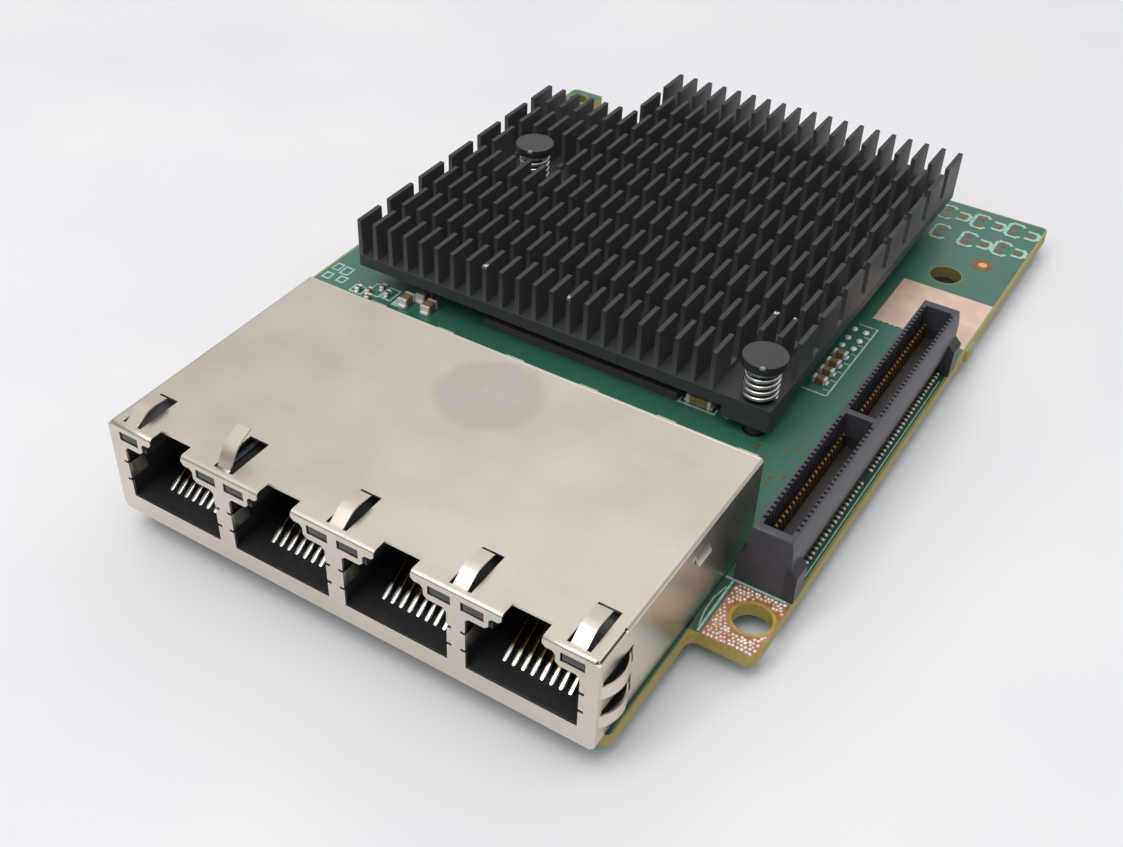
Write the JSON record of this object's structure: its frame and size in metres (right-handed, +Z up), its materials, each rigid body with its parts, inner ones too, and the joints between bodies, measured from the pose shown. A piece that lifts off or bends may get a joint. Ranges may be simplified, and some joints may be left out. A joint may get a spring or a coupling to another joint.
{
  "type": "mezzanine network card",
  "caption": "Mezzanine network card: circuit board with a ganged shielded port jack, finned heat sink on sprung push pins and a board-to-board connector.",
  "frame": {"origin": "middle of the card's outline, on the surface that its pin ends stand on", "axes": "+X along the row of ports, +Y from the port face to the back edge, +Z up from the board"},
  "size_m": [0.0764, 0.11, 0.018],
  "materials": {
    "board_mask": "green solder mask over glass laminate",
    "shield_nickel": "satin nickel plating",
    "jack_plastic": "black moulding",
    "contact_gold": "gold plating",
    "lamp_lens": "smoked lens",
    "potting": "potting compound",
    "pin_tin": "tinned",
    "sink_anodised": "black anodised",
    "push_pin_plastic": "dark grey moulding",
    "spring_steel": "bright wire",
    "pad_rubber": "soft grey pad",
    "connector_plastic": "dark grey moulding",
    "chip_mould": "moulding compound",
    "crystal_can": "plated can",
    "inductor_ferrite": "pressed ferrite",
    "bulk_ceramic": "bronze ceramic with tinned ends",
    "chip_ceramic": "ceramic with tinned ends"
  },
  "bodies": {
    "root": {"back_pin_spring": "spring_steel", "back_push_pin": "push_pin_plastic", "bulk_capacitors": "bulk_ceramic", "circuit_board": "board_mask", "clock_crystal": "crystal_can", "connector_capacitors": "chip_ceramic", "connector_contacts_inner": "contact_gold", "connector_contacts_outer": "contact_gold", "connector_housing": "connector_plastic", "controller_chip": "chip_mould", "filter_capacitors": "chip_ceramic", "front_pin_spring": "spring_steel", "front_push_pin": "push_pin_plastic", "heat_sink": "sink_anodised", "inductors": "inductor_ferrite", "jack_housing": "jack_plastic", "jack_rear_shield": "shield_nickel", "jack_shield": "shield_nickel", "memory_chip": "chip_mould", "port_1_board_pins": "pin_tin", "port_1_contacts": "contact_gold", "port_1_lamp_lenses": "lamp_lens", "port_1_transformers": "potting", "port_2_board_pins": "pin_tin", "port_2_contacts": "contact_gold", "port_2_lamp_lenses": "lamp_lens", "port_2_transformers": "potting", "port_3_board_pins": "pin_tin", "port_3_contacts": "contact_gold", "port_3_lamp_lenses": "lamp_lens", "port_3_transformers": "potting", "port_4_board_pins": "pin_tin", "port_4_contacts": "contact_gold", "port_4_lamp_lenses": "lamp_lens", "port_4_transformers": "potting", "regulators": "chip_mould", "supply_capacitor": "chip_ceramic", "thermal_pad": "pad_rubber", "underside_capacitors": "chip_ceramic"}
  },
  "joints": []
}
